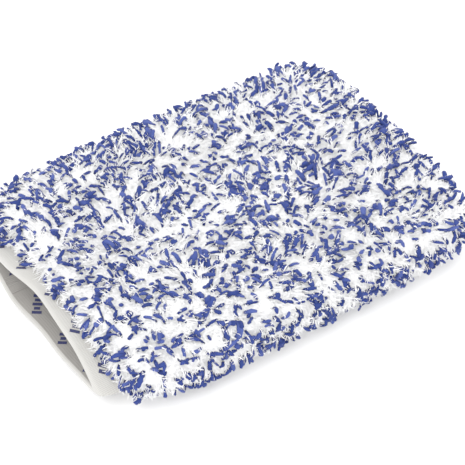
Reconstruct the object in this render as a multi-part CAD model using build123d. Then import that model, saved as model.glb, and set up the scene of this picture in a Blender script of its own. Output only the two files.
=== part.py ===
from build123d import *
import os

# A wash mitt for cars, lying flat: a pouch of two pile panels sewn together round three sides, a
# lining bag inside it, and a ribbed elastic band folded over the mouth.
# Millimetres. +Z is up, the mouth faces -Y and the closed end is at +Y. The origin is on the
# ground, under the middle of the whole mitt. The mitt bends at the knuckle line. Behind that line
# the upper half lifts off the lower half when a hand opens the mouth. In front of it both halves
# curl up together. Each layer is therefore cut at the knuckle line and at the seam plane.

# Driving dimensions
LENGTH = 288.0             # mouth rim to the tips of the pile at the closed end
WIDTH = 210.0              # over the pile
HEIGHT = 54.0              # over the pile, lying flat
SEAM_Z = 14.0              # height of the side and end seams
PILE_END = 17.5            # pile beyond the backing at the closed end
CUFF_SHOWN = 18.0          # band that shows past the pile
CUFF_LEG = 38.0            # each leg of the folded band, from the rim
BAND = 0.8                 # thickness of the band, the lining and the backing
LINING = 0.8
BACKING = 1.0
KNUCKLE_Y = 15.0           # the line that the mitt bends on
CURL_Z = 27.0              # height of the axis that the closed end curls about
OPEN_DEG = 10.0            # how far the upper half lifts
CURL_DEG = 20.0            # how far the closed end curls
SPARE_DEG = 1.0            # room left beyond each of these two angles

# Clearances and small pieces
PARTING = 0.2              # each piece stops this far from a plane that divides the mitt
STITCH = 0.5               # thread thickness
STITCH_LENGTH = 2.6
STITCH_PITCH = 3.6
STITCH_ROW = 62.0          # half the length of a row of stitches
PLAN_CORNER = 30.0         # pile outline seen from above
EDGE_ROUND = 17.0          # pile edges, top and bottom
FAR = 400.0

# Places worked out from them
MOUTH_Y = -LENGTH / 2
TIP_Y = LENGTH / 2
PILE_Y = MOUTH_Y + CUFF_SHOWN
LEG_Y = MOUTH_Y + CUFF_LEG
EDGE_Y = MOUTH_Y + 18.0    # raw edge of the backing and lining, inside the fold
END_SEAM_Y = TIP_Y - PILE_END

# How far each layer stands off the hand space: sideways, at the end, and up or down
HAND = (0.0, 0.0, 0.0)
BAND_INNER = (BAND, 0.0, BAND)
LINING_OUTER = (BAND + LINING, LINING, BAND + LINING)
BACKING_INNER = (LINING_OUTER[0] + 7.0, LINING_OUTER[1] + 2.6, LINING_OUTER[2])
BACKING_OUTER = tuple(gap + BACKING for gap in BACKING_INNER)
BAND_OUTER = (BACKING_OUTER[0] + BAND, BACKING_OUTER[1] + BAND, BACKING_OUTER[2] + BAND)
STITCH_ROOM = tuple(gap + STITCH + 0.8 for gap in BAND_OUTER)
SEAM_OUTER = tuple(gap - 0.25 for gap in BACKING_INNER)
SEAM_INNER = tuple(gap + 0.25 for gap in LINING_OUTER)
HAND_END_Y = END_SEAM_Y - BACKING_OUTER[1]

# The hand space: half its width, its floor and its ceiling at four places along the mitt
HAND_SECTIONS = (
    (MOUTH_Y - 8.0, 79.0, 5.5, 36.5),
    (MOUTH_Y, 79.0, 5.5, 36.5),
    (LEG_Y, 79.5, 7.5, 31.0),
    (HAND_END_Y, 72.0, 9.5, 24.0),
)


def block(low, high):
    """A box between two opposite corners."""
    size = [b - a for a, b in zip(low, high)]
    centre = [(a + b) / 2 for a, b in zip(low, high)]
    return Pos(*centre) * Box(*size)


def slab(y_low, y_high):
    """Everything between two stations along the mitt."""
    return block((-FAR, y_low, -FAR), (FAR, y_high, FAR))


def above(z):
    return block((-FAR, -FAR, z), (FAR, FAR, FAR))


def below(z):
    return block((-FAR, -FAR, -FAR), (FAR, FAR, z))


def lens(y, half_width, floor, ceiling):
    """One cross-section: a low arc and a high arc that meet on the seam plane."""
    left = Vector(-half_width, y, SEAM_Z)
    right = Vector(half_width, y, SEAM_Z)
    high = ThreePointArc(left, Vector(0, y, ceiling), right)
    low = ThreePointArc(right, Vector(0, y, floor), left)
    return Face(Wire([high, low]))


def pouch(gap):
    """The hand space grown by (sideways, at the end, up and down), and open past the mouth."""
    side, end, rise = gap
    sections = []
    for y, half_width, floor, ceiling in HAND_SECTIONS:
        station = y + end if y == HAND_END_Y else y
        sections.append(lens(station, half_width + side, floor - rise, ceiling + rise))
    return loft(sections, ruled=True)


def pile_outline():
    """The outside of the pile: a thick slab, rounded in plan and along its edges."""
    length = TIP_Y - PILE_Y
    plan = Pos(0, (TIP_Y + PILE_Y) / 2, HEIGHT / 2) * Box(WIDTH, length, HEIGHT)
    plan = fillet(plan.edges().filter_by(Axis.Z), PLAN_CORNER)
    faces = plan.faces().sort_by(Axis.Z)
    return fillet(faces[0].edges() + faces[-1].edges(), EDGE_ROUND)


def leaning(y, z, degrees, half):
    """One side of a plane that leans back from the vertical at a line across the mitt."""
    return Pos(0, y, z) * Rot(X=degrees) * half


def rear_upper():
    """What lifts: behind the knuckle line, leaning back so that it clears the closed end."""
    behind = block((-FAR, -FAR, -FAR), (FAR, 0, FAR))
    cut = leaning(KNUCKLE_Y - PARTING, SEAM_Z, OPEN_DEG + SPARE_DEG, behind)
    return cut & above(SEAM_Z + PARTING)


def rear_lower():
    return slab(-FAR, KNUCKLE_Y - PARTING) & below(SEAM_Z - PARTING)


def front():
    """What curls: in front of the knuckle line, leaning forward above the curl axis."""
    ahead = block((-FAR, 0, -FAR), (FAR, FAR, FAR))
    cut = leaning(KNUCKLE_Y + PARTING, CURL_Z, -CURL_DEG - SPARE_DEG, ahead)
    return slab(KNUCKLE_Y + PARTING, FAR) & cut


def quarters(layer, shape):
    """A layer cut into its four pieces, named for their places."""
    return {
        f"upper_{layer}_rear": shape & rear_upper(),
        f"lower_{layer}_rear": shape & rear_lower(),
        f"upper_{layer}_front": shape & front() & above(SEAM_Z + PARTING),
        f"lower_{layer}_front": shape & front() & below(SEAM_Z - PARTING),
    }


def pile():
    stitch_room = pouch(STITCH_ROOM) & slab(-FAR, LEG_Y + 2.0)
    return pile_outline() - (stitch_room + pouch(BACKING_OUTER))


def shell(outer, inner):
    """A layer of cloth from its raw edge at the mouth to the closed end."""
    return (pouch(outer) - pouch(inner)) & slab(EDGE_Y, TIP_Y)


def cuff():
    """The folded band: two legs with the edges of backing and lining held between them."""
    folded = (pouch(BAND_OUTER) - pouch(HAND)) & slab(MOUTH_Y, LEG_Y)
    slot = shell(BACKING_OUTER, BAND_INNER)
    band = folded - slot
    return {"cuff_upper": band & rear_upper(), "cuff_lower": band & rear_lower()}


def cuff_join():
    """The lapped end of the band, sewn down flat inside the mouth near the left corner."""
    low = (-50.0, MOUTH_Y + 2.0, -FAR)
    high = (-36.0, MOUTH_Y + 32.0, SEAM_Z)
    return (pouch(HAND) - pouch((-BAND, 0.0, -BAND))) & block(low, high)


def band_skin(x, y, upper):
    """The height of the band's outside at a place on the mouth, and its slope in degrees."""
    mouth, leg = HAND_SECTIONS[1], HAND_SECTIONS[2]
    share = (y - mouth[0]) / (leg[0] - mouth[0])
    half_width, floor, ceiling = [a + (b - a) * share for a, b in zip(mouth[1:], leg[1:])]
    half_width += BAND_OUTER[0]
    rise = (ceiling - SEAM_Z if upper else SEAM_Z - floor) + BAND_OUTER[2]
    radius = (half_width**2 + rise**2) / (2 * rise)
    drop = radius - (radius**2 - x**2) ** 0.5
    slope = Vector(radius - drop, x).get_angle(Vector(1, 0))
    sign = 1 if upper else -1
    return SEAM_Z + sign * (rise - drop), sign * slope * (1 if x > 0 else -1)


def stitch_row(upper):
    """Lockstitches on the outer leg of the band, in one row near its raw edge."""
    row_y = LEG_Y - 4.0
    count = round(2 * STITCH_ROW / STITCH_PITCH)
    stitches = []
    for i in range(count):
        x = -STITCH_ROW + (i + 0.5) * 2 * STITCH_ROW / count
        z, slope = band_skin(x, row_y, upper)
        lift = (STITCH / 2 + 0.1) * (1 if upper else -1)
        bar = Box(STITCH_LENGTH, STITCH, STITCH)
        bar = fillet(bar.edges().filter_by(Axis.X), STITCH * 0.3)
        stitches.append(Pos(x, row_y, z + lift) * Rot(Y=slope) * bar)
    return Compound(stitches)


def seam_allowances():
    """The raw edges of the two panels, turned in and overlocked between backing and lining."""
    between = pouch(SEAM_OUTER) - pouch(SEAM_INNER)
    between = between & below(SEAM_Z - PARTING) & slab(LEG_Y + 4.0, HAND_END_Y - 2.0)
    inner_x = HAND_SECTIONS[-1][1] + 4.0
    left = between & block((-FAR, -FAR, -FAR), (-inner_x, FAR, FAR))
    right = between & block((inner_x, -FAR, -FAR), (FAR, FAR, FAR))
    y = HAND_END_Y + LINING_OUTER[1] + 0.5
    return {
        "left_seam_rear": left & rear_lower(),
        "left_seam_front": left & front(),
        "right_seam_rear": right & rear_lower(),
        "right_seam_front": right & front(),
        "end_seam": block((-56.0, y, SEAM_Z - 1.8), (56.0, y + 1.6, SEAM_Z - 0.3)),
    }


def main():
    nodes = {
        **quarters("pile", pile()),
        **quarters("backing", shell(BACKING_OUTER, BACKING_INNER)),
        **quarters("lining", shell(LINING_OUTER, BAND_INNER)),
        **cuff(),
        "cuff_join": cuff_join(),
        "cuff_stitches_upper": stitch_row(True),
        "cuff_stitches_lower": stitch_row(False),
        **seam_allowances(),
    }
    os.makedirs("parts", exist_ok=True)
    for name, shape in nodes.items():
        export_step(shape, f"parts/{name}.step")


main()
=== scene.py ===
import math

import bpy
import numpy as np
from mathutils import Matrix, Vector


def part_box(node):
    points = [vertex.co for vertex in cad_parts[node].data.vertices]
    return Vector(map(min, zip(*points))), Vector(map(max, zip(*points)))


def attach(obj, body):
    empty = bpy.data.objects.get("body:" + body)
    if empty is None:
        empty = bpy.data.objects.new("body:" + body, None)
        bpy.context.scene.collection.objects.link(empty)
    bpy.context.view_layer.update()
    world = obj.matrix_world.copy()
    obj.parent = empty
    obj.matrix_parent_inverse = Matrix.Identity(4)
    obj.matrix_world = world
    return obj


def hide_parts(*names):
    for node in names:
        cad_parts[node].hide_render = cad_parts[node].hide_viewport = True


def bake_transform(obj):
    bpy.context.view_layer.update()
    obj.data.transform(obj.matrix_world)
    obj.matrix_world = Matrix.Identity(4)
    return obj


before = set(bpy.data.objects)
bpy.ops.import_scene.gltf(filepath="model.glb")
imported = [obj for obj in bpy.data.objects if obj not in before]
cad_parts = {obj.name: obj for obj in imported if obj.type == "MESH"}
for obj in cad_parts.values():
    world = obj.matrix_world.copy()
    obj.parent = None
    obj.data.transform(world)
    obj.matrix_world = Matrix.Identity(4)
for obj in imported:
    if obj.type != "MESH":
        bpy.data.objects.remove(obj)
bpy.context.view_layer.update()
rng = np.random.default_rng(36)

# ---------------------------------------------------------------- places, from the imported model

LAYERS = ("upper", "lower")
ENDS = ("rear", "front")
PILE_NODES = [f"{layer}_pile_{end}" for layer in LAYERS for end in ENDS]
PILE_LOW = Vector([min(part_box(n)[0][i] for n in PILE_NODES) for i in range(3)])
PILE_HIGH = Vector([max(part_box(n)[1][i] for n in PILE_NODES) for i in range(3)])
SEAM_Z = (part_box("upper_pile_rear")[0].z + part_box("lower_pile_rear")[1].z) / 2
KNUCKLE_Y = (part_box("lower_pile_rear")[1].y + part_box("lower_pile_front")[0].y) / 2
MOUTH_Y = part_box("cuff_lower")[0].y
LEG_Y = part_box("cuff_lower")[1].y
BAND_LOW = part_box("cuff_lower")[0]
BAND_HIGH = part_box("cuff_upper")[1]
LINING_END_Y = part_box("upper_lining_front")[1].y
BACKING_END_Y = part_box("upper_backing_front")[1].y
MM = 0.001
NO_CEILING = 1.0           # higher than anything here

# ---------------------------------------------------------------- the hand space

STACK_SIDE = 10.4 * MM     # band, backing, seam and lining, from the hand space to the outside
STACK_RISE = 3.4 * MM
MOUTH_LIFT = 2.5 * MM      # the corners of the mouth stand this far above the seams
RIM_LENGTH = 50 * MM       # the rim's lift and waves die out over this length
CROWN_POWER = 1.6          # the section's corners: 2 is a sharp lens, and 1 an ellipse
# Share of the way from the mouth to the end, then the hand space's width and heights there
SPACE_SHARES = (0.0, 0.14, 1.0)
WIDTH_SHARES = (0.875, 1.0, 0.91)
UPPER_SHARES = (1.0, 0.755, 0.445)
LOWER_SHARES = (1.0, 0.765, 0.53)


def crown(share):
    """The share of its full height that the hand space has, at a share of the way to its corner."""
    return (1 - np.clip(np.abs(share), 0, 1) ** 2) ** (CROWN_POWER / 2)


def near_rim(y):
    """From 1 at the rim of the mouth to 0 where the rim's own shape has died out."""
    return np.clip(1 - (y - MOUTH_Y) / RIM_LENGTH, 0, 1)


def hand_space(y):
    """Half the width, the height above and below its corners, and the corners' height."""
    share = (y - MOUTH_Y) / (LINING_END_Y - MOUTH_Y)
    half_width = (BAND_HIGH.x - STACK_SIDE) * np.interp(share, SPACE_SHARES, WIDTH_SHARES)
    up = (BAND_HIGH.z - SEAM_Z - STACK_RISE) * np.interp(share, SPACE_SHARES, UPPER_SHARES)
    down = (SEAM_Z - BAND_LOW.z - STACK_RISE) * np.interp(share, SPACE_SHARES, LOWER_SHARES)
    lift = MOUTH_LIFT * near_rim(y) ** 2
    return half_width, up - lift, down + lift, SEAM_Z + lift


# ---------------------------------------------------------------- small tools


def waves(x, y, table):
    """A sum of waves over the mitt. Each has radians per metre across and along, a phase and a size."""
    return sum(size * np.sin(across * x + along * y + phase) for across, along, phase, size in table)


def unit(vectors):
    return vectors / np.maximum(np.linalg.norm(vectors, axis=-1, keepdims=True), 1e-9)


def mesh_object(name, points, *face_sets, smooth=True):
    """A mesh from an array of points and arrays of faces, each with one corner count."""
    mesh = bpy.data.meshes.new(name)
    corners = np.concatenate([faces.ravel() for faces in face_sets]).astype(np.int32)
    totals = np.concatenate([np.full(len(faces), faces.shape[1]) for faces in face_sets])
    totals = totals.astype(np.int32)
    starts = np.concatenate([[0], np.cumsum(totals)[:-1]]).astype(np.int32)
    mesh.vertices.add(len(points))
    mesh.vertices.foreach_set("co", points.astype(np.float32).ravel())
    mesh.loops.add(len(corners))
    mesh.loops.foreach_set("vertex_index", corners)
    mesh.polygons.add(len(totals))
    mesh.polygons.foreach_set("loop_start", starts)
    mesh.polygons.foreach_set("loop_total", totals)
    mesh.polygons.foreach_set("use_smooth", np.full(len(totals), smooth))
    mesh.update(calc_edges=True)
    obj = bpy.data.objects.new(name, mesh)
    bpy.context.collection.objects.link(obj)
    return obj


# ---------------------------------------------------------------- materials

SHEEN_ROUGHNESS = 0.5
CLOTH_SPECULAR = 0.25
WAVE_SCALE = 0.314         # a wave texture's scale times its pitch in metres


def new_material(name, roughness, sheen=0.0, specular=CLOTH_SPECULAR):
    mat = bpy.data.materials.new(name)
    mat.use_nodes = True
    shader = mat.node_tree.nodes["Principled BSDF"]
    shader.inputs["Roughness"].default_value = roughness
    shader.inputs["Sheen Weight"].default_value = sheen
    shader.inputs["Sheen Roughness"].default_value = SHEEN_ROUGHNESS
    shader.inputs["Specular IOR Level"].default_value = specular
    return mat, mat.node_tree, shader


def node(tree, kind, inputs=(), **settings):
    """A new node with its settings, and its inputs linked or set by name."""
    made = tree.nodes.new(kind)
    for key, value in settings.items():
        setattr(made, key, value)
    for key, value in dict(inputs).items():
        if isinstance(value, bpy.types.NodeSocket):
            tree.links.new(value, made.inputs[key])
        else:
            made.inputs[key].default_value = value
    return made


def ramp(tree, factor, stops):
    """A colour that runs through stops of (position, colour) as the factor goes from 0 to 1."""
    made = node(tree, "ShaderNodeValToRGB", {"Fac": factor})
    elements = made.color_ramp.elements
    while len(elements) < len(stops):
        elements.new(0.5)
    for element, (position, colour) in zip(elements, stops):
        element.position = position
        element.color = (*colour, 1.0)
    return made.outputs["Color"]


def multiplied(tree, colour, factor):
    """A colour times another colour or a number."""
    inputs = {"Factor": 1.0, "A": colour, "B": factor}
    return node(tree, "ShaderNodeMix", inputs, data_type="RGBA", blend_type="MULTIPLY").outputs["Result"]


STRAND_UV = "OFBake"       # the map that every strand carries: tint across, root to tip up
TINTS = 48                 # strands are dyed in this many slightly different tints


def strand_material(name, tints, painted_shade_stops, roughness, sheen, specular):
    """Fibre dyed by its tint, with shade painted from root to tip and darkest at the root, both read from
    the strand's own map.
    """
    mat, tree, shader = new_material(name, roughness, sheen, specular)
    place = node(tree, "ShaderNodeUVMap", uv_map=STRAND_UV)
    split = node(tree, "ShaderNodeSeparateXYZ", {"Vector": place.outputs["UV"]})
    across = {0: split.outputs["X"], 1: float(TINTS)}
    scaled = node(tree, "ShaderNodeMath", across, operation="MULTIPLY")
    column = node(tree, "ShaderNodeMath", {0: scaled.outputs[0]}, operation="FLOOR")
    pick = node(tree, "ShaderNodeTexWhiteNoise", {"W": column.outputs[0]}, noise_dimensions="1D")
    dye = ramp(tree, pick.outputs["Value"], tints)
    # painted shade of the pile around the root, from the strand's root to its tip
    depth = ramp(tree, split.outputs["Y"], painted_shade_stops)
    tree.links.new(multiplied(tree, dye, depth), shader.inputs["Base Color"])
    return mat


# Tints are stops over the strands, and the painted shade is stops from a strand's root to its tip, darkest
# at the root down in the pile
WHITE_TINTS = [
    (0.0, (0.96, 0.96, 0.96)),
    (0.4, (0.99, 0.99, 0.99)),
    (0.8, (0.98, 0.975, 0.96)),
    (1.0, (0.95, 0.96, 0.985)),
]
WHITE_PAINTED_SHADE = [(0.0, (0.96, 0.97, 0.99)), (0.35, (0.99, 0.99, 1.0)), (1.0, (1.0, 1.0, 1.0))]
BLUE_TINTS = [
    (0.0, (0.005, 0.012, 0.084)),
    (0.5, (0.009, 0.019, 0.126)),
    (1.0, (0.030, 0.047, 0.205)),
]
BLUE_PAINTED_SHADE = [
    (0.0, (0.20, 0.22, 0.30)),
    (0.25, (0.62, 0.64, 0.72)),
    (0.5, (1.0, 1.0, 1.0)),
    (1.0, (0.90, 0.90, 0.95)),
]
WHITE_FIBRE = strand_material(
    "white_fibre", WHITE_TINTS, WHITE_PAINTED_SHADE, roughness=0.75, sheen=0.60, specular=CLOTH_SPECULAR
)
BLUE_FIBRE = strand_material(
    "blue_fibre", BLUE_TINTS, BLUE_PAINTED_SHADE, roughness=0.80, sheen=0.03, specular=0.07
)


def painted_deep_shade(tree, place, colour, painted_shade_share):
    """Painted shade for the inside of the mouth: a colour that falls to a share of itself, from the mouth's
    rim to the end of the band's leg.
    """
    split = node(tree, "ShaderNodeSeparateXYZ", {"Vector": place.outputs["Object"]})
    reach = {"From Min": MOUTH_Y, "From Max": LEG_Y, "To Min": 1.0, "To Max": painted_shade_share}
    depth = node(tree, "ShaderNodeMapRange", {"Value": split.outputs["Y"], **reach})
    return multiplied(tree, colour, depth.outputs["Result"])


def cloth_material(name, colour, shade, pitch, height, roughness, sheen, painted_shade_share=1.0):
    """Fine knitted cloth: rows of loops as bump, with the gaps between them in shade."""
    mat, tree, shader = new_material(name, roughness, sheen)
    place = node(tree, "ShaderNodeTexCoord")
    rows = {"Vector": place.outputs["Object"], "Scale": WAVE_SCALE / pitch, "Distortion": 1.2, "Detail": 1.0}
    loops = node(tree, "ShaderNodeTexWave", rows, bands_direction="X")
    spots = {"Vector": place.outputs["Object"], "Scale": 90.0, "Detail": 4.0}
    mottle = node(tree, "ShaderNodeTexNoise", spots)
    factors = {0: loops.outputs["Fac"], 1: mottle.outputs["Fac"]}
    both = node(tree, "ShaderNodeMath", factors, operation="MULTIPLY")
    dyed = ramp(tree, both.outputs[0], [(0.0, shade), (0.45, colour), (1.0, colour)])
    # painted shade, darker from the rim into the mouth, where it is asked for
    if painted_shade_share < 1.0:
        dyed = painted_deep_shade(tree, place, dyed, painted_shade_share)
    tree.links.new(dyed, shader.inputs["Base Color"])
    relief = {"Height": loops.outputs["Fac"], "Distance": height, "Strength": 0.6}
    tree.links.new(node(tree, "ShaderNodeBump", relief).outputs["Normal"], shader.inputs["Normal"])
    return mat


BAND_CLOTH = cloth_material(
    "band_cloth",
    colour=(0.43, 0.42, 0.395),
    shade=(0.33, 0.32, 0.295),
    pitch=0.9 * MM,
    height=0.12 * MM,
    roughness=0.75,
    sheen=0.2,
)
# The band's inside: a darker copy of the band cloth as painted shade, darker still towards the end of the
# leg
BAND_INSIDE_PAINTED_SHADE = cloth_material(
    "band_inside_painted_shade",
    colour=(0.27, 0.255, 0.235),
    shade=(0.20, 0.187, 0.17),
    pitch=0.9 * MM,
    height=0.12 * MM,
    roughness=0.8,
    sheen=0.1,
    painted_shade_share=0.30,
)
# The lining is near black: painted shade for the dark inside of the mitt
LINING_PAINTED_SHADE = cloth_material(
    "lining_cloth_painted_shade",
    colour=(0.11, 0.10, 0.09),
    shade=(0.08, 0.075, 0.068),
    pitch=0.7 * MM,
    height=0.10 * MM,
    roughness=0.8,
    sheen=0.1,
)
BACKING_CLOTH = cloth_material(
    "backing_cloth",
    colour=(0.78, 0.78, 0.78),
    shade=(0.62, 0.62, 0.63),
    pitch=1.1 * MM,
    height=0.15 * MM,
    roughness=0.85,
    sheen=0.2,
)
THREAD = cloth_material(
    "thread",
    colour=(0.85, 0.85, 0.83),
    shade=(0.60, 0.60, 0.58),
    pitch=0.35 * MM,
    height=0.08 * MM,
    roughness=0.6,
    sheen=0.1,
)
NAVY_PRINT = cloth_material(
    "navy_print",
    colour=(0.004, 0.006, 0.040),
    shade=(0.010, 0.013, 0.060),
    pitch=0.9 * MM,
    height=0.05 * MM,
    roughness=0.6,
    sheen=0.0,
)

# ---------------------------------------------------------------- the outside of the pile

FRINGE = 6.5 * MM          # the pile's outside comes this far over the band
PILE_START = PILE_LOW - Vector((0, FRINGE, 0))
PILE_CENTRE = (PILE_START + PILE_HIGH) / 2
PILE_HALF = (PILE_HIGH - PILE_START) / 2
MOUTH_POWER = 13.0         # superquadric: how square the mitt's corners are at its mouth
END_POWER = 9.0            # and at its closed end
SECTION_POWER = 4.2        # how square its cross-section is
MOUTH_SECTION_POWER = 2.0  # and how square it is at the mouth, where it is lens-shaped
LENS_START = 0.3           # share of the way from the middle to the mouth where the lens begins
SWELL = 2.2 * MM
SWELL_WAVES = ((31, 22, 0.6, 0.40), (-47, 38, 2.1, 0.35), (71, 63, 4.0, 0.25))
SCATTER_GRID = (220, 260)  # cells from mouth to end and round, for spreading points by area
SCATTER_REACH = 0.9995     # stops short of the very middle of the mouth and of the end
UNDER_DENSITY = 0.35       # the pile underneath is this much thinner
MOUTH_SPARE = 0.5 * MM     # no pile is rooted this near to the band and backing


def rounded(angle, power):
    """Cosine and sine, pushed out from a circle towards a square."""
    c, s = np.cos(angle), np.sin(angle)
    reach = (np.abs(c) ** power + np.abs(s) ** power) ** (-1 / power)
    return c * reach, s * reach


def section_power(along):
    """How square the cross-section is, from -1 at the mouth to 1 at the closed end."""
    near_mouth = np.clip((-along - LENS_START) / (1 - LENS_START), 0, 1) ** 2
    return SECTION_POWER + (MOUTH_SECTION_POWER - SECTION_POWER) * near_mouth


def skin(phi, theta, inset):
    """A point of the pile's outside, moved in by inset. phi runs from mouth to end, theta round."""
    shrink, along = rounded(phi, np.where(phi < 0, MOUTH_POWER, END_POWER))
    across, up = rounded(theta, section_power(along))
    x = (PILE_HALF.x - inset) * shrink * across
    y = PILE_CENTRE.y + (PILE_HALF.y - inset) * along
    z = PILE_CENTRE.z + (PILE_HALF.z - inset) * shrink * up
    z = z + np.where(up > 0, SWELL * waves(x, y, SWELL_WAVES) * np.abs(up), 0.0)
    return np.stack(np.broadcast_arrays(x, y, z), axis=-1)


def skin_normal(phi, theta, inset):
    """Which way is out at a point of the skin, from its slopes."""
    step = 1e-3
    d_phi = skin(phi + step, theta, inset) - skin(phi - step, theta, inset)
    d_theta = skin(phi, theta + step, inset) - skin(phi, theta - step, inset)
    return unit(np.cross(d_phi, d_theta))


def standing_out(points):
    """How far some points are outside the pile's outside, and which way is out from it."""
    scaled = (points - np.array(PILE_CENTRE)) / np.array(PILE_HALF)
    size = np.maximum(np.abs(scaled), 1e-6)
    power = np.where(scaled[..., 1] < 0, MOUTH_POWER, END_POWER)
    square = section_power(scaled[..., 1])
    section = (size[..., 0] ** square + size[..., 2] ** square) ** (1 / square)
    level = (section**power + size[..., 1] ** power) ** (1 / power)
    by_section = (section / level) ** (power - 1)
    slope = np.stack(
        [
            by_section * (size[..., 0] / section) ** (square - 1),
            (size[..., 1] / level) ** (power - 1),
            by_section * (size[..., 2] / section) ** (square - 1),
        ],
        axis=-1,
    )
    slope = slope * np.sign(scaled) / np.array(PILE_HALF)
    steepness = np.linalg.norm(slope, axis=-1, keepdims=True)
    return (level - 1)[..., None] / steepness, slope / steepness


def outside_hand(points):
    """The underside and top of the band and backing at some points, and whether they span there."""
    half_width, up, down, corner = hand_space(points[..., 1])
    share = np.abs(points[..., 0]) / (half_width + STACK_SIDE)
    spans = (share < 1) & (points[..., 1] < BACKING_END_Y + STACK_RISE)
    fullness = crown(share)
    return corner - (down + STACK_RISE) * fullness, corner + (up + STACK_RISE) * fullness, spans


def scatter(count, inset, density):
    """Random points on the skin, spread by area times density(point, normal)."""
    rows, columns = SCATTER_GRID
    phi = np.linspace(-0.5, 0.5, rows + 1) * math.pi * SCATTER_REACH
    theta = np.linspace(0, 2 * math.pi, columns + 1)
    corners = skin(phi[:, None], theta[None], inset)
    edge_a = corners[1:, :-1] - corners[:-1, :-1]
    edge_b = corners[:-1, 1:] - corners[:-1, :-1]
    area = np.linalg.norm(np.cross(edge_a, edge_b), axis=-1)
    centre = (corners[1:, 1:] + corners[:-1, :-1]) / 2
    phi_mid, theta_mid = (phi[1:] + phi[:-1]) / 2, (theta[1:] + theta[:-1]) / 2
    normal = skin_normal(phi_mid[:, None], theta_mid[None], inset)
    weight = (area * density(centre, normal)).ravel()
    total = np.cumsum(weight)
    pick = np.searchsorted(total, (np.arange(count) + rng.random(count)) / count * total[-1])
    row, column = np.divmod(np.minimum(pick, rows * columns - 1), columns)
    some_phi = phi[row] + rng.random(count) * (phi[1] - phi[0])
    some_theta = theta[column] + rng.random(count) * (theta[1] - theta[0])
    return skin(some_phi, some_theta, inset), skin_normal(some_phi, some_theta, inset)


def outside_mouth(points):
    """True where the pile grows: not across the mouth of the mitt."""
    low, high, spans = outside_hand(points)
    inside = (points[..., 2] < high + MOUTH_SPARE) & (points[..., 2] > low - MOUTH_SPARE)
    return ~(inside & spans & (points[..., 1] < LEG_Y))


def pile_density(points, normals):
    """Full on top and round the sides, thinner underneath, none across the mouth."""
    under = np.where(normals[..., 2] < -0.5, UNDER_DENSITY, 1.0)
    return under * outside_mouth(points)


# ---------------------------------------------------------------- which way the pile lies

WHORL_WAVES = ((52, 19, 0.4, 2.6), (-23, 44, 0.0, 2.2))
MOST_OUTWARD = 0.62        # at the edges, the pile lies outwards by this share, and in whorls by the rest
DOWN_SIDES = 1.3           # how strongly the pile is brushed down the sides
SIDE_BOTTOM = 8 * MM       # below this height, it isn't brushed down


def lay(points, normals):
    """The direction along the skin that the pile is brushed in: outwards near the edges, in
    whorls over the middle, and down the sides."""
    x = (points[:, 0] - PILE_CENTRE.x) / PILE_HALF.x
    y = (points[:, 1] - PILE_CENTRE.y) / PILE_HALF.y
    from_middle = np.maximum(np.abs(x), np.abs(y))
    edge = np.clip(from_middle * 1.25 - 0.35, 0, MOST_OUTWARD)[:, None]
    outward = unit(np.stack([x**3, y**3, 0 * x], axis=-1))
    turn = waves(points[:, 0], points[:, 1], WHORL_WAVES)
    whorl = np.stack([np.cos(turn), np.sin(turn), 0 * turn], axis=-1)
    side = (1 - np.abs(normals[:, 2]))[:, None] * (points[:, 2] > SIDE_BOTTOM)[:, None]
    brushed = edge * outward + (1 - edge) * whorl + side * np.array([0, 0, -DOWN_SIDES])
    flat = brushed - normals * np.sum(brushed * normals, axis=-1, keepdims=True)
    return unit(flat)


def turned(vectors, axes, angles):
    """Vectors turned about axes that they are square to."""
    return vectors * np.cos(angles)[:, None] + np.cross(axes, vectors) * np.sin(angles)[:, None]


# ---------------------------------------------------------------- strands

FIBRE_GROOVE = 0.16        # depth of the grooves down a thick tuft
UNEVEN = 0.14              # how much a strand's width varies along it
STRAND_CLEAR = 0.30 * MM   # strands keep this far off the band and the ground
WIDTH_CLEAR = 0.7          # and this share of their own width as well
FRINGE_REACH = 8.0 * MM    # strands reach out over the band by up to this
CRIMP = 5.0                # radians of sideways wave along a strand
MAP_MARGIN = 0.1           # empty share of a column of the map, at each side


def grow(roots, normals, headings, lengths, lean, curl, rings):
    """Centre lines: each leaves its root near the normal and bends over towards its heading."""
    start_lean, end_lean = lean
    share = np.linspace(0, 1, rings)
    middle = ((share[:-1] + share[1:]) / 2)[None, :, None]
    angle = start_lean[:, None, None] * (1 - middle) + end_lean[:, None, None] * middle
    side = np.cross(normals, headings)
    phase = rng.random((len(roots), 1, 1)) * 2 * math.pi
    wave = curl[:, None, None] * np.sin(phase + middle * CRIMP)
    steps = unit(
        normals[:, None] * np.cos(angle) + headings[:, None] * np.sin(angle) + side[:, None] * wave
    )
    legs = steps * (lengths / (rings - 1))[:, None, None]
    start = np.zeros((len(roots), 1, 3))
    return roots[:, None] + np.concatenate([start, np.cumsum(legs, axis=1)], axis=1)


def settle(points, widths, standing):
    """Strands are brushed down onto the pile, and lie on the ground and on the band, not in them."""
    out, away = standing_out(points)
    reach = standing + (FRINGE_REACH - standing) * np.clip(-away[..., 1:2], 0, 1)
    over = np.maximum(out, 0)
    points = points - away * (over - reach * np.tanh(over / reach))
    low, high, spans = outside_hand(points)
    clear = STRAND_CLEAR + WIDTH_CLEAR * widths[:, None]
    above = points[:, :1, 2] >= (low + high)[:, :1] / 2
    least = np.where(spans & above, high + clear, clear)
    most = np.where(spans & ~above, np.maximum(low - clear, clear), NO_CEILING)
    points[..., 2] = np.minimum(np.maximum(points[..., 2], least), most)
    return points


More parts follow.
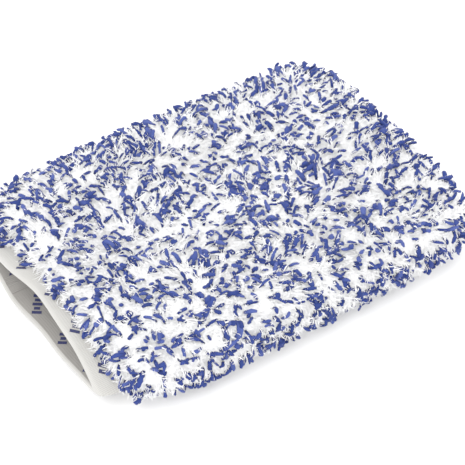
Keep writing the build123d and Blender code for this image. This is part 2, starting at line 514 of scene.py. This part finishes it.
def strand_mesh(name, lines, widths, thicknesses, profile, twist, sides, mat):
    """Closed prisms along the lines, with the profile's share of the width at each ring."""
    count, rings = lines.shape[:2]
    along = unit(np.gradient(lines, axis=1))
    random_axis = unit(rng.normal(size=(count, 1, 3)))
    reference = unit(np.array([0.0, 0.0, 1.0]) * (1 - twist) + random_axis * twist)
    wide = unit(np.cross(along, reference))
    thin = np.cross(wide, along)
    corner = np.linspace(0, 2 * math.pi, sides, endpoint=False)
    groove = 1 - FIBRE_GROOVE * (np.arange(sides) % 2) if sides > 4 else np.ones(sides)
    uneven = rng.normal(1, UNEVEN, (count, rings, 1)).clip(0.6, 1.4)
    radius = np.asarray(profile)[None, :, None] / 2 * uneven * groove[None, None]
    across = (np.cos(corner) * radius * widths[:, None, None])[..., None]
    through = (np.sin(corner) * radius * thicknesses[:, None, None])[..., None]
    points = lines[:, :, None] + wide[:, :, None] * across + thin[:, :, None] * through
    ring = np.arange(rings - 1)[:, None] * sides
    this, beside = np.arange(sides)[None], (np.arange(sides)[None] + 1) % sides
    walls = [ring + this, ring + beside, ring + sides + beside, ring + sides + this]
    walls = np.stack(walls, axis=-1).reshape(-1, 4)
    root_cap = np.arange(sides)[::-1][None]
    tip_cap = np.arange(sides)[None] + (rings - 1) * sides
    first = (np.arange(count) * rings * sides)[:, None, None]
    kinds = (walls, root_cap, tip_cap)
    face_sets = [(first + faces[None]).reshape(-1, faces.shape[1]) for faces in kinds]
    obj = mesh_object(name, points.reshape(-1, 3), *face_sets)
    obj.data.materials.append(mat)
    add_strand_map(obj, count, rings, sides)
    return obj


def add_strand_map(obj, count, rings, sides):
    """Every strand takes a column of the map, one column to a tint, with its root at the bottom."""
    column = rng.integers(0, TINTS, count)[:, None]
    breadth = 1 - 2 * MAP_MARGIN
    left = np.arange(sides) / sides * breadth + MAP_MARGIN
    right = left + breadth / sides
    low = np.arange(rings - 1)[:, None] / (rings - 1) + 0 * left
    high = low + 1 / (rings - 1)
    left, right = left + 0 * low, right + 0 * low
    walls = np.stack([left, low, right, low, right, high, left, high], axis=-1).reshape(-1, 2)
    corner = np.linspace(MAP_MARGIN, 1 - MAP_MARGIN, sides)
    root_cap = np.stack([corner[::-1], 0.02 * (np.arange(sides) % 2)], axis=-1)
    tip_cap = np.stack([corner, 1 - 0.02 * (np.arange(sides) % 2)], axis=-1)
    layer = obj.data.uv_layers.new(name=STRAND_UV)
    maps = []
    for part in (walls, root_cap, tip_cap):
        uv = np.repeat(part[None], count, axis=0)
        uv[..., 0] = (uv[..., 0] + column) / TINTS
        uv[..., 1] = 0.01 + 0.98 * uv[..., 1]
        maps.append(uv.ravel())
    layer.data.foreach_set("uv", np.concatenate(maps).astype(np.float32))


# ---------------------------------------------------------------- white locks

LOCKS = 9200
STRANDS_IN_LOCK = 11
ROOT_DEPTH = 7.5 * MM
LOCK_SPREAD = 1.5 * MM     # its strands are rooted this far apart
FLUFF = 26000
FLUFF_DEPTH = 5.5 * MM
MOST_STRANDS = 7600        # in one piece
MOST_FLUFF = 14000
WHITE_STANDING = 1.6 * MM  # how far strands stand out of the pile's outside, at most


def bunched(roots, normals, spread, wander, members):
    """Roots in bunches: each member has its bunch's normal and nearly its bunch's heading."""
    headings = turned(lay(roots, normals), normals, rng.normal(0, wander, len(roots)))
    side = np.cross(normals, headings)
    which = np.repeat(np.arange(len(roots)), members)
    drift = rng.normal(0, spread, (2, len(which), 1))
    member_roots = roots[which] + headings[which] * drift[0] + side[which] * drift[1]
    return which, member_roots, normals[which], headings[which]


def in_pieces(name, roots, most, build):
    """Builds rear pieces and front pieces of a pile, split so that none holds too many strands."""
    objects = {}
    for end, mask in (("rear", roots[:, 1] < KNUCKLE_Y), ("front", roots[:, 1] >= KNUCKLE_Y)):
        chosen = np.flatnonzero(mask)
        parts = np.array_split(chosen, math.ceil(len(chosen) / most))
        objects[end] = [build(f"{name}_{end}_{number}", some) for number, some in enumerate(parts, 1)]
    return objects


def white_pile():
    """Locks of crimped strands that fan out from their roots."""
    places = scatter(LOCKS, ROOT_DEPTH, pile_density)
    which, roots, normals, headings = bunched(*places, LOCK_SPREAD, 0.7, STRANDS_IN_LOCK)
    total = len(which)
    headings = turned(headings, normals, rng.normal(0, 1.1, total))
    lock_length = rng.normal(11.5, 1.8, LOCKS).clip(7, 15) * MM
    lock_lean = rng.normal(0.55, 0.2, LOCKS).clip(0.1, 1.0)
    lengths = lock_length[which] * rng.uniform(0.65, 1.05, total)
    start_lean = (lock_lean[which] + rng.normal(0, 0.25, total)).clip(-0.2, 1.2)
    lean = (start_lean, start_lean + rng.uniform(0.5, 1.2, total))
    widths = rng.uniform(0.45, 0.95, total) * MM
    profile = (0.9, 1.0, 1.0, 0.85, 0.15)
    curl = rng.normal(0, 0.5, total)
    lines = grow(roots, normals, headings, lengths, lean, curl, len(profile))
    lines = settle(lines, widths, WHITE_STANDING)
    thicknesses = widths * rng.uniform(0.4, 0.8, total)
    return in_pieces(
        "white_pile",
        roots,
        MOST_STRANDS,
        lambda name, some: strand_mesh(
            name, lines[some], widths[some], thicknesses[some], profile,
            twist=0.8, sides=3, mat=WHITE_FIBRE,
        ),
    )


def fluff():
    """Short fine ends that stand every way out of the white locks."""
    roots, normals = scatter(FLUFF, FLUFF_DEPTH, pile_density)
    headings = turned(lay(roots, normals), normals, rng.normal(0, 1.6, FLUFF))
    start_lean = rng.normal(0.8, 0.3, FLUFF).clip(0, 1.4)
    lean = (start_lean, start_lean + rng.uniform(0.2, 1.3, FLUFF))
    lengths = rng.uniform(4.0, 7.5, FLUFF) * MM
    widths = rng.uniform(0.25, 0.6, FLUFF) * MM
    profile = (1.0, 0.85, 0.1)
    curl = rng.normal(0, 0.7, FLUFF)
    lines = grow(roots, normals, headings, lengths, lean, curl, len(profile))
    lines = settle(lines, widths, WHITE_STANDING)
    return in_pieces(
        "white_fluff",
        roots,
        MOST_FLUFF,
        lambda name, some: strand_mesh(
            name, lines[some], widths[some], widths[some] * 0.6, profile,
            twist=0.8, sides=3, mat=WHITE_FIBRE,
        ),
    )


# ---------------------------------------------------------------- blue tufts

TUFT_PLACES = 7000
TUFT_SPACING = 4.3 * MM    # no two bunches of tufts grow closer together than this
TUFT_DEPTH = 3.7 * MM
MOST_TUFTS = 1250
TUFT_STANDING = 1.7 * MM
TUFT_SPREAD = 2.2 * MM     # tufts in a bunch are rooted this far apart


def well_spread(roots):
    """The indices of roots that keep TUFT_SPACING from each other, in a random order of choice."""
    cells, chosen = {}, []
    steps = (-1, 0, 1)
    for index in rng.permutation(len(roots)):
        root = roots[index]
        i, j, k = (root // TUFT_SPACING).astype(int)
        near = [o for a in steps for b in steps for c in steps for o in cells.get((i + a, j + b, k + c), ())]
        if all(np.linalg.norm(roots[other] - root) > TUFT_SPACING for other in near):
            cells.setdefault((i, j, k), []).append(index)
            chosen.append(index)
    return np.array(chosen)


def blue_pile():
    """Thick blunt tufts, alone or a few together, that lie over on the pile."""
    places, facing = scatter(TUFT_PLACES, TUFT_DEPTH, pile_density)
    chosen = well_spread(places)
    members = rng.choice([1, 2, 3], len(chosen), p=[0.72, 0.22, 0.06])
    which, roots, normals, headings = bunched(places[chosen], facing[chosen], TUFT_SPREAD, 1.3, members)
    total = len(which)
    headings = turned(headings, normals, rng.normal(0, 0.45, total))
    lengths = rng.normal(8.9, 1.9, total).clip(5, 14) * MM
    start_lean = rng.normal(0.72, 0.22, total).clip(0.1, 1.2)
    lean = (start_lean, start_lean + rng.uniform(0.2, 0.7, total))
    widths = rng.normal(2.95, 0.6, total).clip(1.3, 4.2) * MM
    thicknesses = rng.uniform(1.4, 2.2, total) * MM
    profile = (0.7, 0.9, 1.0, 1.0, 1.0, 1.0, 0.95, 0.62)
    curl = rng.normal(0, 0.14, total)
    lines = grow(roots, normals, headings, lengths, lean, curl, len(profile))
    lines = settle(lines, widths, TUFT_STANDING)
    return in_pieces(
        "blue_pile",
        roots,
        MOST_TUFTS,
        lambda name, some: strand_mesh(
            name, lines[some], widths[some], thicknesses[some], profile,
            twist=0.35, sides=10, mat=BLUE_FIBRE,
        ),
    )


# ---------------------------------------------------------------- the body of the pile under the strands

AROUND = 260               # corners of each ring of cloth
# How far the outsides of the lining and the backing stand off the hand space, sideways and up
LINING_OUTER = (1.6 * MM, 1.6 * MM)
BACKING_OUTER = (9.6 * MM, 2.6 * MM)
BASE_DEPTH = 4.2 * MM
BASE_LUMP = 1.2 * MM
BASE_GAP = 0.4 * MM        # between the base and the backing inside it
GROUND_GAP = 0.2 * MM
BASE_SET_BACK = 4 * MM     # its front is cut away to this depth, which opens it at the mouth
BASE_ROWS = 240            # rings of its outside, from mouth to end
BASE_REACH = 0.998         # stops short of the very middle of the closed end
TUBE_ROWS = 40             # rings of cloth along a tube


def base_material():
    """Dense white roots: fine mottling, and fibres and clumps as bump."""
    mat, tree, shader = new_material("pile_base", 0.9, 0.2)
    place = node(tree, "ShaderNodeTexCoord")
    spots = {"Vector": place.outputs["Object"], "Scale": 420.0, "Detail": 5.0}
    clumps = node(tree, "ShaderNodeTexNoise", spots)
    dyed = ramp(tree, clumps.outputs["Fac"], [(0.3, (0.94, 0.95, 0.97)), (0.6, (0.98, 0.98, 0.99))])
    tree.links.new(dyed, shader.inputs["Base Color"])
    relief = {"Height": clumps.outputs["Fac"], "Distance": 1.0 * MM, "Strength": 0.8}
    tree.links.new(node(tree, "ShaderNodeBump", relief).outputs["Normal"], shader.inputs["Normal"])
    return mat


def lumpy(points):
    """A skin of points raised and lowered into small clumps."""
    _, away = standing_out(points)
    x, y, z = np.moveaxis(points, -1, 0)
    lumps = np.sin(430 * x + 2 * np.sin(160 * y)) * np.sin(390 * y + 2 * np.sin(180 * x))
    lumps = lumps * np.cos(300 * z)
    return points + away * (BASE_LUMP * lumps)[..., None]


def pile_core():
    """The dense body of the pile between the backing and the strands, open at the mouth."""
    mat = base_material()
    theta = np.linspace(0, 2 * math.pi, AROUND, endpoint=False)
    phi = np.linspace(-0.5, 0.5, BASE_ROWS) * math.pi * BASE_REACH
    outside = lumpy(skin(phi[:, None], theta[None], BASE_DEPTH))
    low, high, spans = outside_hand(outside)
    above = outside[..., 2] > (low + high) / 2
    least = np.where(spans & above, high + BASE_GAP, GROUND_GAP)
    most = np.where(spans & ~above, np.maximum(low - BASE_GAP, GROUND_GAP), NO_CEILING)
    outside[..., 2] = np.clip(outside[..., 2], least, most)
    along = outside[:, 0, 1]
    side, rise = BACKING_OUTER[0] + BASE_GAP, BACKING_OUTER[1] + BASE_GAP
    made = {}
    for end in ENDS:
        if end == "rear":
            start_y = PILE_START.y + BASE_DEPTH + BASE_SET_BACK
            outer = outside[(along > start_y) & (along < KNUCKLE_Y)]
            stations = np.linspace(outer[0, 0, 1], KNUCKLE_Y, TUBE_ROWS)
        else:
            outer = outside[along >= KNUCKLE_Y]
            stations = np.linspace(KNUCKLE_Y, BACKING_END_Y + BASE_GAP, TUBE_ROWS)
        inner = [ring(y, side, rise) for y in stations]
        if end == "rear":
            obj = ring_mesh("pile_base_rear", inner + list(outer[::-1]), closed=True)
        else:
            obj = ring_mesh("pile_base_front", inner[::-1] + list(outer), closed=False)
        obj.data.materials.append(mat)
        made[end] = [obj]
    return made


# ---------------------------------------------------------------- the band, the lining and the backing

BAND_THICKNESS = 0.8 * MM
RIB_PITCH = 1.7 * MM
RIB_HEIGHT = 0.22 * MM
RIM_RADIUS = 1.7 * MM      # half the thickness of the fold at the rim
RIM_WAVES = ((61, 0, 0.7, 1.0 * MM), (113, 0, 2.0, 0.6 * MM))
RIM_BACK = 1.2 * MM        # on average the rim stands this far back from the CAD band's
POINTS_IN_RIB = 5
FOLD_POINTS = 12           # round the fold, between its two legs
LEG_POINTS = 12            # along the hidden face of each leg
UNDER_BAND = 6 * MM        # the lining and the backing reach this far under the band
LINING_THICKNESS = 0.8 * MM
BACKING_THICKNESS = 1.0 * MM


def rim_wave(x):
    """How far the rim stands back at a place across the mouth."""
    return RIM_BACK + waves(x, 0.0, RIM_WAVES)


def ring(y, side, rise):
    """A ring of points round the hand space, standing off it by side and rise."""
    theta = np.linspace(0, 2 * math.pi, AROUND, endpoint=False)
    half_width, up, down, corner = hand_space(y)
    across, height = np.cos(theta), np.sin(theta)
    x = (half_width + side) * across
    z = corner + np.where(height > 0, up + rise, -(down + rise)) * np.abs(height) ** CROWN_POWER
    return np.stack([x, y + rim_wave(x) * near_rim(y), z], axis=-1)


def ring_mesh(name, rings, closed):
    """Cloth woven through rings in turn. A closed one joins its last ring to its first, and
    any other has both its ends capped."""
    points = np.array(rings)
    rows = len(points) if closed else len(points) - 1
    i, j = np.meshgrid(np.arange(rows), np.arange(AROUND), indexing="ij")
    following, beside = (i + 1) % len(points), (j + 1) % AROUND
    corners = [i * AROUND + j, following * AROUND + j, following * AROUND + beside, i * AROUND + beside]
    face_sets = [np.stack(corners, axis=-1).reshape(-1, 4)]
    if not closed:
        first = np.arange(AROUND)
        face_sets += [first[None], first[None, ::-1] + rows * AROUND]
    return mesh_object(name, points.reshape(-1, 3), *face_sets)


def band_profile():
    """The folded band's cross-section: (distance from the rim, share of the way out, rib)."""
    leg = LEG_Y - MOUTH_Y
    straight = np.arange(leg, RIM_RADIUS, -RIB_PITCH / POINTS_IN_RIB)
    ribs = np.abs(np.sin(math.pi * (straight - RIM_RADIUS) / RIB_PITCH))
    fold = np.linspace(0, math.pi, FOLD_POINTS + 2)[1:-1]
    outer = [(d, 1.0, r) for d, r in zip(straight, ribs)]
    rim = [(RIM_RADIUS * (1 - math.sin(a)), (1 + math.cos(a)) / 2, 0.0) for a in fold]
    inner = [(d, 0.0, -r) for d, r in zip(straight[::-1], ribs[::-1])]
    thin = BAND_THICKNESS / STACK_RISE
    back = np.linspace(leg, RIM_RADIUS + BAND_THICKNESS, LEG_POINTS)
    inside = [(d, thin, 0.0) for d in back] + [(d, 1 - thin, 0.0) for d in back[::-1]]
    return outer + rim + inner + inside


def cuff_band():
    """The folded elastic band, all the way round the mouth, with painted shade on its inner faces."""
    profile = band_profile()
    rings = []
    for distance, out, rib in profile:
        proud = RIB_HEIGHT * rib
        rings.append(ring(MOUTH_Y + distance, STACK_SIDE * out + proud, STACK_RISE * out + proud))
    obj = ring_mesh("cuff_band", rings, closed=True)
    obj.data.materials.append(BAND_CLOTH)
    obj.data.materials.append(BAND_INSIDE_PAINTED_SHADE)
    # the inner faces of the fold take the darker cloth of painted shade
    inside = np.array([out <= 0.0 for _, out, _ in profile])
    obj.data.polygons.foreach_set("material_index", np.repeat(inside, AROUND).astype(np.int32))
    return obj


def cloth_tube(name, start_y, end_y, outer, thickness, mat, closed_end):
    """A tube of cloth round the hand space, with its end sewn shut if closed_end is true."""
    stations = np.linspace(start_y, end_y, TUBE_ROWS)
    inner = [reach - thickness for reach in outer]
    skins = [[ring(y, side, rise) for y in stations] for side, rise in (outer, inner)]
    cap = []
    if closed_end:
        tail = skins[0][-1]
        middle = tail.mean(axis=0)
        cap = [middle + (tail - middle) * (1, 1, share) for share in (0.75, 0.5, 0.25)]
        inner_tail = skins[1][-1] - (0, thickness, 0)
        skins[1][-1] = inner_tail
        middle_in = inner_tail.mean(axis=0)
        cap += [middle_in + (inner_tail - middle_in) * (1, 1, share) for share in (0.25, 0.5, 0.75)]
    obj = ring_mesh(name, skins[0] + cap + skins[1][::-1], closed=True)
    obj.data.materials.append(mat)
    return obj


def cloth_bag(name, outer, end_y, thickness, mat):
    """A layer of the bag: a rear tube from under the band, and a front tube sewn shut at its end."""
    rear = cloth_tube(f"{name}_rear", LEG_Y - UNDER_BAND, KNUCKLE_Y, outer, thickness, mat, False)
    front = cloth_tube(f"{name}_front", KNUCKLE_Y, end_y, outer, thickness, mat, True)
    return {"rear": rear, "front": front}


# ---------------------------------------------------------------- printed marks on the band

MARKS = 5                  # in a row across the mouth, where there is room
MARK_PITCH = 33 * MM
MARK_SHIFT = 0.4           # of the pitch, between the rows inside and outside
MARK_DISTANCE = 11 * MM    # from the rim to the middle of the marks
MARK_MARGIN = 9 * MM       # no bar is closer than this to a corner of the mouth
MARK_BARS = 5
BAR_PITCH = 3.7 * MM
BAR_WIDTH = 2.5 * MM
BAR_LENGTH = 6.4 * MM
SHORT_BAR = 4.0 * MM
BAR_GRID = (3, 7)
INK = 0.12 * MM            # how far the print stands out
INK_CLEAR = 0.02 * MM      # between the print and the tops of the ribs
MARK_TURN = math.radians(142)


def band_point(x, distance, outside, upper):
    """The band's skin at a place across the mouth and a distance from the rim, clear of its ribs."""
    y = MOUTH_Y + distance
    half_width, up, down, corner = hand_space(y)
    share = 1.0 if outside else 0.0
    proud = (RIB_HEIGHT + INK_CLEAR) * (1 if outside else -1)
    fullness = crown(x / (half_width + STACK_SIDE * share + proud))
    reach = (up if upper else -down) + (STACK_RISE * share + proud) * (1 if upper else -1)
    return np.stack([x, y + rim_wave(x) * near_rim(y), corner + reach * fullness], axis=-1)


def bar_patch(x, distance, length, outside, upper):
    """One printed bar: a thin slab laid on the band, square to a row of bars."""
    a = np.linspace(-0.5, 0.5, BAR_GRID[0])[:, None] * BAR_WIDTH
    b = np.linspace(-0.5, 0.5, BAR_GRID[1])[None] * length
    u = a * math.cos(MARK_TURN) - b * math.sin(MARK_TURN)
    v = a * math.sin(MARK_TURN) + b * math.cos(MARK_TURN)
    top = band_point(x + u, distance + v, outside, upper)
    d_a, d_b = np.gradient(top, axis=0), np.gradient(top, axis=1)
    out = unit(np.cross(d_a, d_b))
    out = out * np.sign(np.sum(out * [0, 0, 1.0], axis=-1, keepdims=True))
    out = out * (1 if outside == upper else -1)
    return np.stack([top + out * INK, top - out * INK * 0.5])


def cuff_marks():
    """Rows of bars printed round the band, inside and outside, every other bar a short one."""
    patches = []
    for outside in (True, False):
        for upper in (True, False):
            shift = 0.0 if outside else MARK_PITCH * MARK_SHIFT
            edge = hand_space(MOUTH_Y)[0] + (STACK_SIDE if outside else 0.0)
            for centre in (np.arange(MARKS) - (MARKS - 1) / 2) * MARK_PITCH + shift:
                for k in range(MARK_BARS):
                    step = (k - (MARK_BARS - 1) / 2) * BAR_PITCH
                    x = centre + step * math.cos(MARK_TURN)
                    distance = MARK_DISTANCE + step * math.sin(MARK_TURN)
                    if abs(x) > edge - MARK_MARGIN:
                        continue
                    length = SHORT_BAR if k % 2 else BAR_LENGTH
                    patches.append(bar_patch(x, distance, length, outside, upper))
    obj = slab_mesh("cuff_marks", np.array(patches))
    obj.data.materials.append(NAVY_PRINT)
    return obj


def slab_mesh(name, patches):
    """Closed slabs, each from a top grid and a bottom grid of points."""
    count, _, rows, columns = patches.shape[:4]
    size = rows * columns
    grid = np.arange(size).reshape(rows, columns)
    flat = np.stack([grid[:-1, :-1], grid[1:, :-1], grid[1:, 1:], grid[:-1, 1:]], -1).reshape(-1, 4)
    edge = np.concatenate([grid[0, :], grid[1:, -1], grid[-1, -2::-1], grid[-2:0:-1, 0]])
    after = np.roll(edge, -1)
    walls = np.stack([edge, after, after + size, edge + size], -1)
    faces = np.concatenate([flat, flat[:, ::-1] + size, walls[:, ::-1]])
    faces = faces[None] + (np.arange(count) * 2 * size)[:, None, None]
    return mesh_object(name, patches.reshape(-1, 3), faces.reshape(-1, 4), smooth=False)


# ---------------------------------------------------------------- the band's lapped join

LAP_START = 2 * MM         # from the rim
LAP_LENGTH = 30 * MM
LAP_GRID = 60
LAP_SUNK = 0.1 * MM        # its underside is this far into the band
LAP_EDGE = 1.2 * MM        # its edges are rounded over this width
LAP_EDGE_SHARE = 0.35      # and are this share of its thickness
LAP_BEND = 5 * MM          # its creases curve this far sideways along it
CREASES = (1.5 * MM, 4.5 * MM, 7.5 * MM)
CREASE_WIDTH = 0.7 * MM
CREASE_HEIGHT = 0.8 * MM


def cuff_join():
    """The lapped end of the band inside the mouth, with its edges turned under."""
    low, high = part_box("cuff_join")
    across = np.linspace(low.x, high.x, LAP_GRID)
    along = np.linspace(LAP_START, LAP_START + LAP_LENGTH, LAP_GRID)
    x, distance = np.meshgrid(across, along, indexing="ij")
    band_top = band_point(x, distance, outside=False, upper=False)
    edge = np.clip(np.minimum(x - low.x, high.x - x) / LAP_EDGE, 0, 1)
    body = BAND_THICKNESS * (LAP_EDGE_SHARE + (1 - LAP_EDGE_SHARE) * edge)
    bent = x - low.x - LAP_BEND * (distance / LAP_LENGTH) ** 2
    creases = sum(np.exp(-(((bent - place) / CREASE_WIDTH) ** 2)) for place in CREASES)
    rise = body + CREASE_HEIGHT * creases * edge
    top = band_top + np.array([0, 0, 1.0]) * rise[..., None]
    underside = band_top - np.array([0, 0, LAP_SUNK])
    obj = slab_mesh("cuff_join_lap", np.stack([top, underside])[None])
    obj.data.polygons.foreach_set("use_smooth", np.full(len(obj.data.polygons), True))
    # the lap takes the band's darker inside cloth, with its painted shade
    obj.data.materials.append(BAND_INSIDE_PAINTED_SHADE)
    return obj


# ---------------------------------------------------------------- the pieces' transforms, baked into their meshes


def follow(made):
    """Bakes the transform of each rear piece and each front piece into its mesh."""
    for obj in made["rear"]:
        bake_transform(obj)
    for obj in made["front"]:
        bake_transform(obj)


# ---------------------------------------------------------------- camera, lights and ground

CAMERA_AZIMUTH = 56.06     # degrees, from -Y towards +X
CAMERA_ELEVATION = 43.33
CAMERA_DISTANCE = 1.176
CAMERA_LENS = 133.4        # millimetres
SENSOR_WIDTH = 36.0
AIM_RIGHT = 0.0068         # the frame's origin lies this far left of and below the picture's middle
AIM_UP = 0.0125
WORLD_STRENGTH = 1.78
VIEW_GAMMA = 1.5
FLOOR_HALF = 6.0
FLOOR_WHITE = 0.95


def way_back(azimuth, elevation):
    """The direction from the mitt to an eye or a light, from angles in degrees."""
    a, e = math.radians(azimuth), math.radians(elevation)
    return Vector((math.sin(a) * math.cos(e), -math.cos(a) * math.cos(e), math.sin(e)))


def placed(name, data, target, back, distance):
    """A camera or light that looks at a target from a distance back."""
    made = bpy.data.objects.new(name, data)
    made.location = target + back * distance
    made.rotation_euler = back.to_track_quat("Z", "Y").to_euler()
    bpy.context.collection.objects.link(made)
    return made


def camera():
    """A long lens at the photograph's viewing angle."""
    back = way_back(CAMERA_AZIMUTH, CAMERA_ELEVATION)
    a = math.radians(CAMERA_AZIMUTH)
    right = Vector((math.cos(a), math.sin(a), 0))
    target = right * AIM_RIGHT + back.cross(right) * AIM_UP
    data = bpy.data.cameras.new("camera")
    data.lens = CAMERA_LENS
    data.sensor_width = SENSOR_WIDTH
    bpy.context.scene.camera = placed("camera", data, target, back, CAMERA_DISTANCE)


def soft_light(name, azimuth, elevation, distance, size, watts):
    """A round light aimed at the mitt."""
    data = bpy.data.lights.new(name, "AREA")
    data.shape = "DISK"
    data.size = size
    data.energy = watts
    placed(name, data, Vector((0, 0, 0)), way_back(azimuth, elevation), distance)


def studio():
    """A white surround, one soft light and a pale floor."""
    world = bpy.data.worlds.new("studio")
    world.use_nodes = True
    background = world.node_tree.nodes["Background"]
    background.inputs["Color"].default_value = (1, 1, 1, 1)
    background.inputs["Strength"].default_value = WORLD_STRENGTH
    bpy.context.scene.world = world
    bpy.context.scene.view_settings.view_transform = "Standard"
    bpy.context.scene.view_settings.gamma = VIEW_GAMMA
    soft_light("key", azimuth=20, elevation=55, distance=1.6, size=0.9, watts=7)
    corners = ((-1, -1, 0), (1, -1, 0), (1, 1, 0), (-1, 1, 0))
    points = np.array(corners) * FLOOR_HALF
    floor = mesh_object("floor", points, np.array([[0, 1, 2, 3]]), smooth=False)
    mat, _, shader = new_material("floor_paper", 0.9)
    shader.inputs["Base Color"].default_value = (FLOOR_WHITE, FLOOR_WHITE, FLOOR_WHITE, 1)
    floor.data.materials.append(mat)


# ---------------------------------------------------------------- the mitt

core = pile_core()
band = cuff_band()
marks = cuff_marks()
lap = cuff_join()
lining = cloth_bag("lining", LINING_OUTER, LINING_END_Y, LINING_THICKNESS, LINING_PAINTED_SHADE)
backing = cloth_bag("backing", BACKING_OUTER, BACKING_END_Y, BACKING_THICKNESS, BACKING_CLOTH)

for end in ENDS:
    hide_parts(f"upper_pile_{end}", f"lower_pile_{end}")
    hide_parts(f"upper_lining_{end}", f"lower_lining_{end}")
    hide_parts(f"upper_backing_{end}", f"lower_backing_{end}")
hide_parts("cuff_upper", "cuff_lower")
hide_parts("cuff_join")

follow(core)
follow(white_pile())
follow(fluff())
follow(blue_pile())
rear_cloth = [band, marks, lining["rear"], backing["rear"]]
front_cloth = [lining["front"], backing["front"]]
follow({"rear": rear_cloth, "front": front_cloth})
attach(lap, "lower_half")
for name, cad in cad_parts.items():
    if "stitches" in name or "seam" in name:
        cad.data.materials.clear()
        cad.data.materials.append(THREAD)

camera()
studio()
